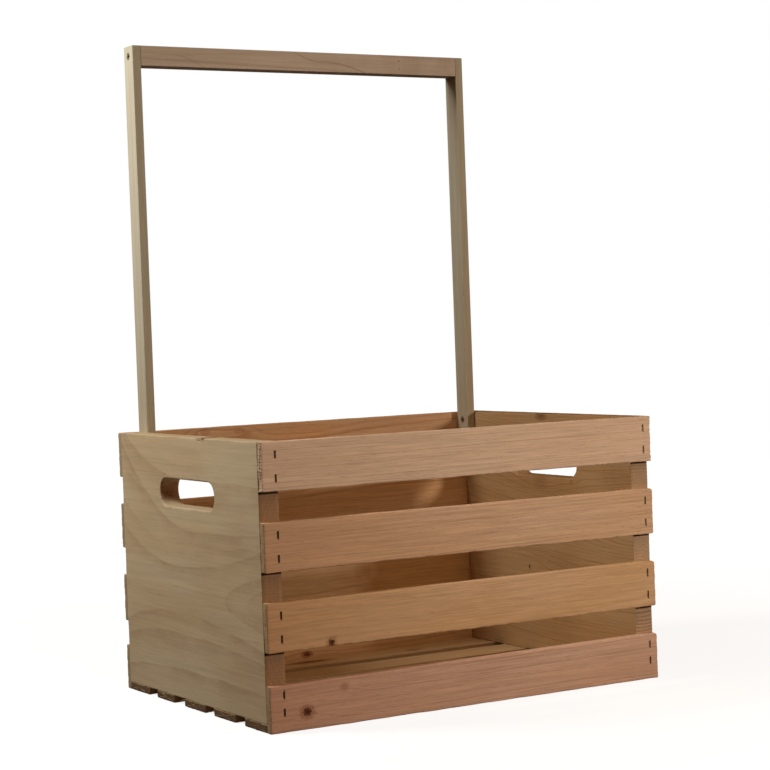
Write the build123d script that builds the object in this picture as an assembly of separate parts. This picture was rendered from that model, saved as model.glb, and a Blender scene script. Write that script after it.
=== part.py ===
from build123d import *
import os

# Slatted pine apple crate with two solid end boards and a tall fixed handle frame at the back.
#
# Millimetres, +Z up. The origin is the middle of the underside, the front faces -Y, and the
# handle frame stands inside the back corners. The crate is held together by narrow-crown
# staples, and the handle frame by countersunk cross-recess wood screws.

# ---------------------------------------------------------------- crate
crate_length = 407.0  # along X, over the ends of the slats
board_thickness = 19.0  # the two end boards
board_depth = 283.0  # end board, front edge to back edge
slat_thickness = 7.0
slat_gap = 25.5  # between neighbouring side slats
side_slat_width = 42.0
side_slat_count = 4
floor_slat_width = 42.0
floor_slat_count = 5
edge_radius = 0.8  # eased edges of the boards and slats

# ---------------------------------------------------------------- hand holds
hand_hold_length = 112.0
hand_hold_height = 25.0
hand_hold_drop = 51.0  # centre of the slot below the crate's top edge
hand_hold_rounding = 1.6

# ---------------------------------------------------------------- handle frame
overall_height = 610.0
stick_depth = 20.0  # front to back, posts and rail alike
post_thickness = 8.5
post_overlap = 50.0  # length of post inside the crate
rail_height = 19.0
stick_edge_radius = 0.6

# ---------------------------------------------------------------- staples
crown_width = 6.4
wire_width = 1.3
wire_thickness = 1.0
staple_length = 25.0
staple_sink = 0.9  # crown below the face of the slat
staple_bend = 0.8  # outer radius where crown turns into leg
side_staple_spread = {"front": 20.0, "rear": 14.0}  # between the two staples in one slat end
lowest_staple_spread = 15.0  # the lowest slat is backed by less of the end board
floor_staple_spread = 22.0
left_staple_drift = 4.0  # inward from the middle of the end board's thickness
right_staple_drift = -0.5
floor_staple_drift = -4.0

# ---------------------------------------------------------------- screws
screw_radius = 1.75
screw_head_radius = 3.4
screw_head_rim = 0.4
screw_head_sink = 0.4
screw_clearance = 0.05
screw_cover = 2.5  # wood left between a post screw's tip and the outside of the end board
rail_screw_grip = 23.5  # length of a rail screw inside the rail
screw_tip_length = 4.0
first_screw_drop = 8.0  # below the crate's top edge
second_screw_drop = 36.0
cross_width = 1.1
cross_span = 4.2
cross_depth = 1.5

# ---------------------------------------------------------------- pin holes in the rail
pin_hole_radius = 0.6
pin_hole_depth = 4.0
pin_hole_spacing = 7.6
pin_hole_offset = 108.5  # from the middle of the rail

# ---------------------------------------------------------------- worked out
crate_height = side_slat_count * side_slat_width + (side_slat_count - 1) * slat_gap
crate_depth = board_depth + 2 * slat_thickness
floor_gap = (board_depth - floor_slat_count * floor_slat_width) / (floor_slat_count - 1)
inside_half = crate_length / 2 - board_thickness
post_bottom = crate_height - post_overlap
stick_middle = board_depth / 2 - stick_depth / 2
rail_length = 2 * (inside_half - post_thickness)
rail_middle_height = overall_height - rail_height / 2
head_depth = screw_head_rim + screw_head_radius - screw_radius
post_screw_length = post_thickness + board_thickness - screw_cover - screw_head_sink
rail_screw_length = post_thickness + rail_screw_grip - screw_head_sink

ENDS = {"left": -1, "right": 1}
SIDES = {"front": -1, "rear": 1}


def side_slat_middle(number):
    """Height of the middle of side slat 1 (top) to 4 (bottom)."""
    return crate_height - side_slat_width / 2 - (number - 1) * (side_slat_width + slat_gap)


def floor_slat_middle(number):
    """Y of the middle of floor slat 1 (front) to 5 (back)."""
    first = -board_depth / 2 + floor_slat_width / 2
    return first + (number - 1) * (floor_slat_width + floor_gap)


def eased_board(length, depth, height, radius):
    """A sawn board, centred on the origin, with every edge eased."""
    block = Box(length, depth, height)
    return fillet(block.edges(), radius)


# ---------------------------------------------------------------- staples


def staple():
    """One staple: its face is at z = 0 of the wood, its crown along X, its legs down -Z."""
    top = -staple_sink
    crown = Pos(0, 0, top - wire_thickness / 2) * Box(crown_width, wire_width, wire_thickness)
    leg = Box(wire_thickness, wire_width, staple_length)
    reach = crown_width / 2 - wire_thickness / 2
    body = crown
    for side in (-1, 1):
        body += Pos(side * reach, 0, top - staple_length / 2) * leg
    outer = [e for e in body.edges().filter_by(Axis.Y) if abs(e.center().Z - top) < 1e-6]
    return fillet(outer, staple_bend)


def staple_cavity():
    """The slot that a staple presses into the wood, open at the face."""
    bottom_of_crown = staple_sink + wire_thickness
    slot = Pos(0, 0, -bottom_of_crown / 2) * Box(crown_width, wire_width, bottom_of_crown)
    leg_hole_depth = staple_sink + staple_length
    reach = crown_width / 2 - wire_thickness / 2
    for side in (-1, 1):
        slot += Pos(side * reach, 0, -leg_hole_depth / 2) * Box(
            wire_thickness, wire_width, leg_hole_depth
        )
    return slot


def staple_x(end, drift):
    """X of a line of staples in one end board."""
    return ENDS[end] * (crate_length / 2 - board_thickness / 2 - drift)


def side_staple_planes(side, end, number):
    """Where the staples of one end of one side slat go in."""
    drift = left_staple_drift if end == "left" else right_staple_drift
    middle = side_slat_middle(number)
    spread = side_staple_spread[side]
    if number == side_slat_count:
        middle = (side_slat_width + slat_thickness) / 2
        spread = lowest_staple_spread
    return [
        Plane(
            origin=(staple_x(end, drift), SIDES[side] * crate_depth / 2, middle + step),
            x_dir=(0, 0, 1),
            z_dir=(0, SIDES[side], 0),
        )
        for step in (-spread / 2, spread / 2)
    ]


def floor_staple_planes(end, number):
    """Where the staples of one end of one floor slat go in, from below."""
    return [
        Plane(
            origin=(staple_x(end, floor_staple_drift), floor_slat_middle(number) + step, 0),
            x_dir=(0, 1, 0),
            z_dir=(0, 0, -1),
        )
        for step in (-floor_staple_spread / 2, floor_staple_spread / 2)
    ]


def placed(shape, planes):
    """A copy of the shape at each plane."""
    return [plane.location * shape for plane in planes]


# ---------------------------------------------------------------- screws


def screw_outline(length, grow, top):
    """Half section of a countersunk screw; grow enlarges it all round, top is where it starts."""
    head = screw_head_radius + grow
    shank = screw_radius + grow
    shoulder = -screw_head_sink - screw_head_rim
    neck = -screw_head_sink - head_depth
    tip = -screw_head_sink - length
    return Polyline(
        (0, 0, top),
        (head, 0, top),
        (head, 0, shoulder - grow),
        (shank, 0, neck - grow),
        (shank, 0, tip + screw_tip_length),
        (0, 0, tip - grow),
        (0, 0, top),
    )


def screw(length):
    """Countersunk wood screw along -Z with a cross recess, its head just under z = 0."""
    body = revolve(make_face(screw_outline(length, 0, -screw_head_sink)), Axis.Z)
    recess_middle = -screw_head_sink - cross_depth / 2
    for turn in (0, 90):
        body -= Rot(0, 0, turn) * Pos(0, 0, recess_middle) * Box(
            cross_span, cross_width, cross_depth
        )
    return body


def screw_hole(length):
    """Clearance, countersink and pilot hole of a screw, open at the face."""
    return revolve(make_face(screw_outline(length, screw_clearance, 0)), Axis.Z)


def post_screw_planes(end):
    """Heads on the inner face of the post, driven outwards into the end board."""
    face = inside_half - post_thickness
    return [
        Plane(
            origin=(ENDS[end] * face, stick_middle, crate_height - drop),
            x_dir=(0, 1, 0),
            z_dir=(-ENDS[end], 0, 0),
        )
        for drop in (first_screw_drop, second_screw_drop)
    ]


def rail_screw_plane(end):
    """Head on the outer face of the post, driven inwards into the end of the rail."""
    return Plane(
        origin=(ENDS[end] * inside_half, stick_middle, rail_middle_height),
        x_dir=(0, 1, 0),
        z_dir=(ENDS[end], 0, 0),
    )


# ---------------------------------------------------------------- wooden parts


def end_board(end):
    """Solid end board with a slotted hand hold, and the holes that its fasteners make."""
    height = crate_height - slat_thickness
    body = eased_board(board_thickness, board_depth, height, edge_radius)
    body = Pos(0, 0, slat_thickness + height / 2) * body
    slot = extrude(
        Plane.YZ * SlotOverall(hand_hold_length, hand_hold_height),
        amount=board_thickness,
        both=True,
    )
    body -= Pos(0, 0, crate_height - hand_hold_drop) * slot
    rims = [
        edge
        for edge in body.edges()
        if abs(edge.center().Y) < hand_hold_length / 2
        and abs(edge.center().Z - crate_height + hand_hold_drop) <= hand_hold_height / 2 + 0.01
        and abs(abs(edge.center().X) - board_thickness / 2) < 1e-4
    ]
    body = fillet(rims, hand_hold_rounding)
    body = Pos(ENDS[end] * (crate_length / 2 - board_thickness / 2), 0, 0) * body
    planes = [
        plane
        for side in SIDES
        for number in range(1, side_slat_count + 1)
        for plane in side_staple_planes(side, end, number)
    ]
    for number in range(1, floor_slat_count + 1):
        planes += floor_staple_planes(end, number)
    cutters = placed(staple_cavity(), planes)
    cutters += placed(screw_hole(post_screw_length), post_screw_planes(end))
    return body - cutters


def side_slat(side, number):
    """One of the slats nailed across the front or back edges of the end boards."""
    body = eased_board(crate_length, slat_thickness, side_slat_width, edge_radius)
    y = SIDES[side] * (crate_depth - slat_thickness) / 2
    body = Pos(0, y, side_slat_middle(number)) * body
    planes = [p for end in ENDS for p in side_staple_planes(side, end, number)]
    return body - placed(staple_cavity(), planes)


def floor_slat(number):
    """One of the slats under the end boards."""
    body = eased_board(crate_length, floor_slat_width, slat_thickness, edge_radius)
    body = Pos(0, floor_slat_middle(number), slat_thickness / 2) * body
    planes = [p for end in ENDS for p in floor_staple_planes(end, number)]
    return body - placed(staple_cavity(), planes)


def post(end):
    """Upright of the handle frame, flat against the inside of its end board and back slats."""
    height = overall_height - post_bottom
    body = eased_board(post_thickness, stick_depth, height, stick_edge_radius)
    x = ENDS[end] * (inside_half - post_thickness / 2)
    body = Pos(x, stick_middle, post_bottom + height / 2) * body
    cutters = placed(screw_hole(post_screw_length), post_screw_planes(end))
    cutters += placed(screw_hole(rail_screw_length), [rail_screw_plane(end)])
    return body - cutters


def top_rail():
    """Rail between the tops of the posts, with a pulled staple's two pin holes in front."""
    body = eased_board(rail_length, stick_depth, rail_height, stick_edge_radius)
    body = Pos(0, stick_middle, rail_middle_height) * body
    cutters = [
        rail_screw_plane(end).location * screw_hole(rail_screw_length) for end in ENDS
    ]
    front = stick_middle - stick_depth / 2
    pin_hole = Rot(90, 0, 0) * Cylinder(pin_hole_radius, 2 * pin_hole_depth)
    for step in (-pin_hole_spacing / 2, pin_hole_spacing / 2):
        cutters.append(Pos(pin_hole_offset, front, rail_middle_height + step) * pin_hole)
    return body - cutters


# ---------------------------------------------------------------- fasteners, one node a group


def side_staples(side, end):
    """All the staples at one end of the front or back."""
    planes = [
        plane
        for number in range(1, side_slat_count + 1)
        for plane in side_staple_planes(side, end, number)
    ]
    return placed(staple(), planes)


def floor_staples(end):
    """All the staples under one end board."""
    planes = [
        plane
        for number in range(1, floor_slat_count + 1)
        for plane in floor_staple_planes(end, number)
    ]
    return placed(staple(), planes)


def build_parts():
    """Every node's name and the solids in it."""
    parts = {"top_rail": [top_rail()]}
    for end in ENDS:
        parts[f"{end}_end_board"] = [end_board(end)]
        parts[f"{end}_post"] = [post(end)]
        parts[f"{end}_post_screws"] = placed(screw(post_screw_length), post_screw_planes(end))
        parts[f"{end}_rail_screw"] = placed(screw(rail_screw_length), [rail_screw_plane(end)])
        parts[f"floor_{end}_staples"] = floor_staples(end)
    for side in SIDES:
        for number in range(1, side_slat_count + 1):
            parts[f"{side}_slat_{number}"] = [side_slat(side, number)]
        for end in ENDS:
            parts[f"{side}_{end}_staples"] = side_staples(side, end)
    for number in range(1, floor_slat_count + 1):
        parts[f"floor_slat_{number}"] = [floor_slat(number)]
    return parts


os.makedirs("parts", exist_ok=True)
for name, shapes in build_parts().items():
    solids = [solid for shape in shapes for solid in shape.solids()]
    export_step(solids[0] if len(solids) == 1 else Compound(solids), f"parts/{name}.step")
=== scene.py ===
import math

import bpy
import numpy as np
from mathutils import Matrix, Vector


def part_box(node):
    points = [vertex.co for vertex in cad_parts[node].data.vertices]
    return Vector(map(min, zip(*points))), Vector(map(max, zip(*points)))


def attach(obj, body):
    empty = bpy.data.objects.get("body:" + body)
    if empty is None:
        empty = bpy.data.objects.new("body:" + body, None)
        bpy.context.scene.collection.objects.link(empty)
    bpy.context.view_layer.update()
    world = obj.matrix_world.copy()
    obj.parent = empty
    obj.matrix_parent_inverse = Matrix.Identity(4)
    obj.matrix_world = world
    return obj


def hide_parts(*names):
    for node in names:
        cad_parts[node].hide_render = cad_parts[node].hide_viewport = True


# A slatted pine apple crate with solid end boards and a tall handle frame.
# Everything is in metres in the crate's own frame: +X along the slats, -Y the front, +Z up.

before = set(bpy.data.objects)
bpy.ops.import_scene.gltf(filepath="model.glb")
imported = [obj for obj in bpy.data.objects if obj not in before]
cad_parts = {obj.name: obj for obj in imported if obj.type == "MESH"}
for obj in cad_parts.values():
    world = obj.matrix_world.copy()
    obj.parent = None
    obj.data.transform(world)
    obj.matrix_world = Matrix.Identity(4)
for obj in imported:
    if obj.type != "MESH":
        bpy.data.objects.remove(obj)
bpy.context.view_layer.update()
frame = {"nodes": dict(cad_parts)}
NODES = frame["nodes"]
MM = 0.001
CLOSE_ANGLE = math.radians(38)  # edges that turn by more than this are drawn sharp

FRONT_SLATS = [f"front_slat_{n}" for n in (1, 2, 3, 4)]
REAR_SLATS = [f"rear_slat_{n}" for n in (1, 2, 3, 4)]
FLOOR_SLATS = [f"floor_slat_{n}" for n in (1, 2, 3, 4, 5)]
POSTS = ["left_post", "right_post"]
RAIL = "top_rail"
STAPLES = [f"{side}_{end}_staples" for side in ("front", "rear", "floor") for end in ("left", "right")]
SCREWS = [f"{end}_{kind}" for end in ("left", "right") for kind in ("post_screws", "rail_screw")]


def centre(node):
    low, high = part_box(node)
    return (low + high) / 2


def link(name, data):
    """A new object in the scene for a mesh, a light or a camera."""
    thing = bpy.data.objects.new(name, data)
    bpy.context.scene.collection.objects.link(thing)
    return thing


def surface(name, points, faces):
    """A new mesh piece, smooth apart from its sharp edges."""
    mesh = bpy.data.meshes.new(name)
    mesh.from_pydata(points, [], faces)
    mesh.shade_smooth()
    mesh.set_sharp_from_angle(angle=CLOSE_ANGLE)
    return link(name, mesh)


# ------------------------------------------------------------------ sawn slats, as worn surfaces

ALONG_X_FACING_Y = Matrix(((1, 0, 0), (0, 0, -1), (0, 1, 0)))  # grain X, width Z, thickness -Y
ALONG_X_FACING_Z = Matrix.Identity(3)  # grain X, width Y, thickness Z
ALONG_Y_FACING_X = Matrix(((0, 0, 1), (1, 0, 0), (0, 1, 0)))  # grain Y, width Z, thickness X
ALONG_Z_FACING_Y = Matrix(((0, 1, 0), (0, 0, 1), (1, 0, 0)))  # grain Z, width X, thickness Y

ARRIS_STEPS = 5  # points round each rounded corner
END_STEPS = 4  # rings round each rounded end
GRID_PITCH = 2.0  # mm between grid lines on a slat
STAPLE_RECESS = 1.15  # mm, from the face to the crushed wood beside a staple's crown
CROWN = (0.95, 3.55)  # mm, half sizes of that crushed wood along and across a slat
END_EASE = 0.9  # mm that a slat's section draws in at its end face
END_LEAN = 0.45  # share of that draw-in moved from the hidden face to the shown one
HIDDEN_ARRIS = 0.5  # how worn the hidden face's arrises are beside the shown face's


def local_box(node, turn):
    """Half sizes of a node's box in mm along its grain, width and thickness."""
    low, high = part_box(node)
    return np.abs(np.array(turn.inverted() @ (high - low))) / 2 / MM


def waves(rng, places, lengths, count=6):
    """Smooth noise of about -1 to 1: sines of random direction and phase, added up.

    places is (..., k) in mm and lengths gives the k shortest wavelengths in mm.
    """
    total = np.zeros(places.shape[:-1])
    for _ in range(count):
        pull = rng.normal(size=places.shape[-1]) / np.array(lengths)
        total += np.sin(2 * math.pi * (places @ pull) * rng.uniform(0.4, 1.0) + rng.uniform(0, 2 * math.pi))
    return total / math.sqrt(count / 2) / 1.6


def staple_spots(node, staples, turn):
    """Local (along, across) middle of each of the two staples of this slat end, in mm."""
    mesh = NODES[staples].data
    points = np.empty(len(mesh.vertices) * 3)
    mesh.vertices.foreach_get("co", points)
    local = (points.reshape(-1, 3) - np.array(centre(node))) @ np.array(turn) / MM
    half = local_box(node, turn)
    local = local[np.abs(local[:, 1]) < half[1]]
    upper = local[:, 1] > local[:, 1].mean()
    return [(group.min(0) + group.max(0)) / 2 for group in (local[upper], local[~upper])]


def grid_lines(half, borders):
    """Sorted grid positions from -half to half: an even pitch, and a close pair at each border."""
    even = np.linspace(-half, half, max(3, int(2 * half / GRID_PITCH)) + 1)
    marks = np.array(sorted(m for b in borders for m in (b - 0.08, b + 0.08)))
    if len(marks):
        even = even[np.min(np.abs(even[:, None] - marks[None, :]), axis=1) > 0.35]
    return np.sort(np.concatenate([even, marks]))


def closed_tube(name, rings, low_pole, high_pole):
    """A closed mesh from rings of points (count, around, 3) in metres, capped by a pole at each end."""
    count, around, _ = rings.shape
    points = np.concatenate([rings.reshape(-1, 3), [low_pole, high_pole]])
    i = np.arange(count - 1)[:, None] * around
    j = np.arange(around)[None, :]
    k = (j + 1) % around
    quads = np.stack([i + j, i + k, i + around + k, i + around + j], axis=-1).reshape(-1, 4)
    j, k = j[0], k[0]
    last = (count - 1) * around
    low_fan = np.stack([np.full(around, len(points) - 2), k, j], axis=-1)
    high_fan = np.stack([np.full(around, len(points) - 1), last + j, last + k], axis=-1)
    return surface(name, points.tolist(), quads.tolist() + low_fan.tolist() + high_fan.tolist())


def make_slat(node, turn, face, spots, seed, rounding=(0, 0, 0, 0), rough=0.25, wider=(0, 0, 0)):
    """A sawn slat as one closed surface, in place of a CAD slat.

    The first parameter runs along the grain and the second round the section, a rectangle whose
    corner radius wanders along the slat where the arris is worn, least on the hidden face. At each
    end the section draws in over a quarter circle and the end face closes in rings onto a pole.
    face is the sign of the thickness direction that the staples were driven from, and each of the
    spots is pressed into it. rounding gives the radius of the outline at (low end, low edge),
    (low end, high edge), (high end, low edge) and (high end, high edge), and rough how far the saw
    wandered at the ends. wider gives how much the low and the high edge stand past the CAD slat,
    and the share of that lost by the high end.
    """
    rng = np.random.default_rng(seed)
    length, width, thick = local_box(node, turn)
    ease = END_EASE
    borders_a = sorted({round(s[0] + d, 3) for s in spots for d in (-CROWN[0], CROWN[0])})
    borders_b = sorted({round(s[1] + d, 3) for s in spots for d in (-CROWN[1], CROWN[1])})
    body = grid_lines(length - ease, borders_a)
    flat = grid_lines(width - 2.1, borders_b)
    swing = np.linspace(0, math.pi / 2, END_STEPS + 1)[1:]
    along = np.concatenate([body, length - ease + ease * np.sin(swing), np.full(4, length)])
    inset = np.concatenate([np.zeros(len(body)), ease * (1 - np.cos(swing)), np.full(4, ease)])
    shrink = np.concatenate([np.ones(len(body) + END_STEPS), (0.8, 0.55, 0.3, 0.1)])
    extra = slice(len(body), None)
    along = np.concatenate([-along[extra][::-1], along])
    inset = np.concatenate([inset[extra][::-1], inset])
    shrink = np.concatenate([shrink[extra][::-1], shrink])

    # one loop round the section: high face backwards, low edge, low face forwards, high edge
    half_b = (width - inset) * shrink
    half_c = (thick - inset) * shrink
    signs = ((1, 1), (-1, 1), (-1, -1), (1, -1))
    corner = []
    for side in range(4):
        place = np.stack([along, np.full_like(along, 90.0 * side)], axis=-1)
        wear = 0.95 + 0.55 * waves(rng, place, (26, 40)) + 0.25 * waves(rng, place, (5, 40))
        radius = np.clip(np.clip(wear, 0.35, 1.9) - 0.6 * inset, 0.12, None)
        if signs[side][1] != face:
            radius = radius * HIDDEN_ARRIS
        corner.append(np.minimum(radius, half_c / np.maximum(shrink, 0.05) * 0.9) * shrink)
    theta = np.linspace(0, math.pi / 2, ARRIS_STEPS)
    rows_b, rows_c = [], []
    for side, (sb, sc) in enumerate(signs):
        start = side * math.pi / 2
        radius = corner[side][:, None]
        rows_b.append(sb * (half_b[:, None] - radius) + radius * np.cos(start + theta))
        rows_c.append(sc * (half_c[:, None] - radius) + radius * np.sin(start + theta))
        if side in (0, 2):
            reach = half_b[:, None] / width
            line = (flat[::-1] if side == 0 else flat)[None, :] * reach
            rows_b.append(line)
            rows_c.append(np.repeat(sc * half_c[:, None], len(flat), axis=1))
        else:
            line = np.array((0.5, 0.0, -0.5)) * (1 if side == 1 else -1)
            rows_b.append(np.repeat(sb * half_b[:, None], 3, axis=1))
            rows_c.append(line[None, :] * half_c[:, None])
    b = np.concatenate(rows_b, axis=1)
    c = np.concatenate(rows_c, axis=1) - face * END_LEAN * (inset * shrink)[:, None]
    a = np.repeat(along[:, None], b.shape[1], axis=1)

    # the outline: rounded corners, edges that wander a little, ends left by the saw
    for number, radius in enumerate(rounding):
        if radius:
            end, edge = (-1, 1)[number // 2], (-1, 1)[number % 2]
            past = np.clip((end * a - (length - radius)) / radius, 0, 1)
            drop = radius * (1 - np.sqrt(1 - past**2 * 0.999))
            share = np.clip(edge * b / width, 0, 1) ** 2
            b = b - edge * drop * share
    place = np.stack([a, b, c], axis=-1)
    b = b + 0.12 * waves(rng, np.stack([a, np.sign(b) * 50], axis=-1), (60, 60)) * np.abs(b) / width
    kept = 1 - wider[2] * (a / length + 1) / 2
    b = b + kept * (wider[1] * np.clip(b / width, 0, 1) - wider[0] * np.clip(-b / width, 0, 1))
    near_end = np.clip((np.abs(a) - (length - 4)) / 4, 0, 1) ** 2
    saw = waves(rng, np.stack([b, c, np.sign(a) * 70], axis=-1), (2.2, 9, 60), count=8)
    a = a + np.sign(a) * rough * np.minimum(saw - 0.6, 0.2) * near_end

    # the faces: a slight cup, long ripples, and the pressed-in staples
    c = c + 0.12 * ((b / width) ** 2 - 0.35) + 0.07 * waves(rng, place[..., :2], (45, 14))
    c = c + 0.03 * waves(rng, place[..., :2], (12, 2.4), count=9)
    on_face = (face * c > 0.55 * thick) & (np.abs(a) < length - 1.5)
    for spot in spots:
        inside = on_face & (np.abs(a - spot[0]) < CROWN[0]) & (np.abs(b - spot[1]) < CROWN[1])
        c = np.where(inside, face * (thick - STAPLE_RECESS), c)
    rings = np.stack([a, b, c], axis=-1) * MM
    matrix = np.array(turn)
    middle = np.array(centre(node))
    rings = rings @ matrix.T + middle
    pole = np.array((length * MM, 0, 0)) @ matrix.T
    piece = closed_tube(node + "_wood", rings, middle - pole, middle + pole)
    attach(piece, "root")
    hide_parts(node)
    return piece


def quarter(steps):
    """Angles of the points inside a quarter turn, without its two ends."""
    return np.linspace(0, math.pi / 2, steps + 2)[1:-1]


def board_outline(half_a, half_b, radius, fine):
    """Points and outward normals round a rectangle with rounded corners, counter-clockwise.

    The points are BOARD_PITCH apart on the straight runs, and closer near the places in fine,
    which are the (a, b) of details on the edge.
    """
    points, normals = [], []
    for turn in range(4):
        angle = turn * math.pi / 2
        out = np.array((math.cos(angle), math.sin(angle)))
        ahead = np.array((-out[1], out[0]))
        reach = abs(out @ (half_a, 0)) + abs(out @ (0, half_b))
        side = abs(ahead @ (half_a, 0)) + abs(ahead @ (0, half_b)) - radius
        run = np.linspace(-side, side, int(2 * side / BOARD_PITCH) + 1)
        for a, b in fine:
            if abs(out @ (a, b) - reach) < 1:
                spot = ahead @ (a, b)
                run = run[np.abs(run - spot) > 9]
                run = np.sort(np.concatenate([run, spot + np.linspace(-8.4, 8.4, 29)]))
        points.append(out * reach + run[:, None] * ahead)
        normals.append(np.repeat(out[None, :], len(run), axis=0))
        swing = quarter(3)[:, None]
        bend = out * np.cos(swing) + ahead * np.sin(swing)
        points.append(out * (reach - radius) + ahead * side + radius * bend)
        normals.append(bend)
    return np.concatenate(points), np.concatenate(normals)


BOARD_PITCH = 3.0  # mm between the rays of an end board
UNDER_SLATS = 0.45  # how worn a board's arrises are where the slats cover them
OUTLINE_RADIUS = 1.1  # mm, at the corners of a board
HAND_HOLD = {"half_length": 56.0, "half_height": 12.5, "below_top": 51.0}


def make_board(node, seed, chips=(), moved=(0.0, 0.0)):
    """An end board as one closed surface with a hole through it, in place of a CAD end board.

    The first parameter goes once round the wood's section and the second round the hand hold.
    Each ray starts at the nearest point of the slot's middle line and crosses the face to the
    outline, over a worn arris, through the thickness, and back across the other face to the wall
    of the hand hold. chips are bites out of an arris: (a, b, side, half length, depth), and moved
    is how far the hand hold was cut off its place, along and across the grain.
    """
    rng = np.random.default_rng(seed)
    turn = ALONG_Y_FACING_X
    half_a, half_b, half_c = local_box(node, turn)
    outline, normal = board_outline(half_a, half_b, OUTLINE_RADIUS, [chip[:2] for chip in chips])
    slot_b = half_b - HAND_HOLD["below_top"] + moved[1]
    slot_radius = HAND_HOLD["half_height"]
    straight = HAND_HOLD["half_length"] - slot_radius
    low_a, high_a = moved[0] - straight, moved[0] + straight
    middle = np.stack([np.clip(outline[:, 0], low_a, high_a), np.full(len(outline), slot_b)], axis=-1)
    radial = outline - middle
    radial = radial / np.linalg.norm(radial, axis=1)[:, None]
    hole = middle + slot_radius * radial

    faces = []
    for side in (1, -1):
        height = np.full(len(outline), 60.0 * side)
        place = np.stack([outline[:, 0], outline[:, 1], height], axis=-1)
        worn = 0.9 + 0.45 * waves(rng, place, (30, 30, 50)) + 0.2 * waves(rng, place, (7, 7, 50))
        worn = np.clip(worn, 0.4, 1.8) * np.where(np.abs(outline[:, 0]) > half_a - 0.2, UNDER_SLATS, 1.0)
        rim_place = np.stack([hole[:, 0], hole[:, 1], height], axis=-1)
        lower = np.clip(-radial[:, 1], 0, 1)
        rim = 1.6 + 0.25 * waves(rng, rim_place, (20, 20, 50))
        rim = rim + 0.7 * lower * waves(rng, rim_place, (5, 5, 50))
        faces.append((worn, np.clip(rim, 0.6, 2.8)))

    rows_p, rows_c = [], []

    def arc(edge, direction, radius, side, angles):
        """Round an arris: angle 0 is on the face and a quarter turn is on the edge."""
        for angle in angles:
            rows_p.append(edge - (radius * (1 - math.sin(angle)))[:, None] * direction)
            rows_c.append(side * (half_c - radius * (1 - math.cos(angle))))

    def face(inner, outer, side):
        """Points across a face: close together next to either arris and even between."""
        span = np.linalg.norm(outer - inner, axis=1)
        near, far = np.array((0.0, 0.7, 1.6, 3.0)), np.array((3.2, 2.4, 1.7, 1.1, 0.5, 0.0))
        even = np.linspace(0, 1, 30)[1:-1]
        shares = [near_step / span for near_step in near]
        shares += [(near[-1] + step * (span - near[-1] - far[0])) / span for step in even]
        shares += [1 - far_step / span for far_step in far]
        for share in shares:
            rows_p.append(inner + share[:, None] * (outer - inner))
            rows_c.append(np.full(len(span), side * half_c))

    angles = quarter(3)
    through = np.linspace(1, -1, 8)[1:-1]
    for side in (1, -1):
        worn, rim = faces[0] if side == 1 else faces[1]
        start = hole + rim[:, None] * radial
        stop = outline - worn[:, None] * normal
        if side == 1:
            face(start, stop, side)
            arc(outline, normal, worn, side, angles)
            for step in through:
                rows_p.append(outline)
                rows_c.append(np.full(len(outline), step * (half_c - 2.0)))
        else:
            arc(outline, normal, worn, side, angles[::-1])
            mark = len(rows_p)
            face(start, stop, side)
            rows_p[mark:] = rows_p[mark:][::-1]
            arc(hole, -radial, rim, side, angles)
            for step in through[::-1]:
                rows_p.append(hole)
                rows_c.append(np.full(len(outline), step * (half_c - 3.0)))
            arc(hole, -radial, faces[0][1], 1, angles[::-1])
    p = np.stack(rows_p)
    a, b, c = p[..., 0], p[..., 1], np.stack(rows_c)

    # the faces are not quite flat, and splinters are gone from the arrises
    place = np.stack([a, b, np.sign(c) * 90], axis=-1)
    c = c + 0.06 * waves(rng, place, (70, 22, 90)) + 0.1 * ((b / half_b) ** 2 - 0.4)
    for chip_a, chip_b, side, reach, depth in chips:
        bowl = np.sqrt(np.clip(1 - ((a - chip_a) / reach) ** 2, 0, 1))
        bowl = bowl * (1 + 0.25 * waves(rng, place, (3, 30, 90)))
        below = np.abs(chip_b) - np.abs(b)
        inward = half_c - side * c
        bite = np.clip(depth * bowl - below - 0.8 * inward, 0, None) * (side * c > 0) * (b * chip_b > 0)
        b = b - np.sign(chip_b) * 0.62 * bite
        c = c - side * 0.5 * bite
    loops = np.stack([a, b, c], axis=-1) * MM @ np.array(turn).T + np.array(centre(node))
    piece = closed_ring(node + "_wood", loops)
    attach(piece, "root")
    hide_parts(node)
    return piece


def closed_ring(name, loops):
    """A closed mesh from points (section, around, 3) that joins up in both directions."""
    count, around, _ = loops.shape
    i = np.arange(count)[:, None]
    j = np.arange(around)[None, :]
    up, on = (i + 1) % count, (j + 1) % around
    quads = np.stack([i * around + j, up * around + j, up * around + on, i * around + on], axis=-1)
    return surface(name, loops.reshape(-1, 3).tolist(), quads.reshape(-1, 4).tolist())


def make_boards():
    """Both end boards; a splinter is gone from the left board's outer top edge."""
    _, top, _ = local_box("left_end_board", ALONG_Y_FACING_X)
    return {
        "left_end_board": make_board("left_end_board", 301, [(-33.0, top, -1, 7.0, 3.6)]),
        "right_end_board": make_board("right_end_board", 302, moved=(1.5, 1.9)),
    }


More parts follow.
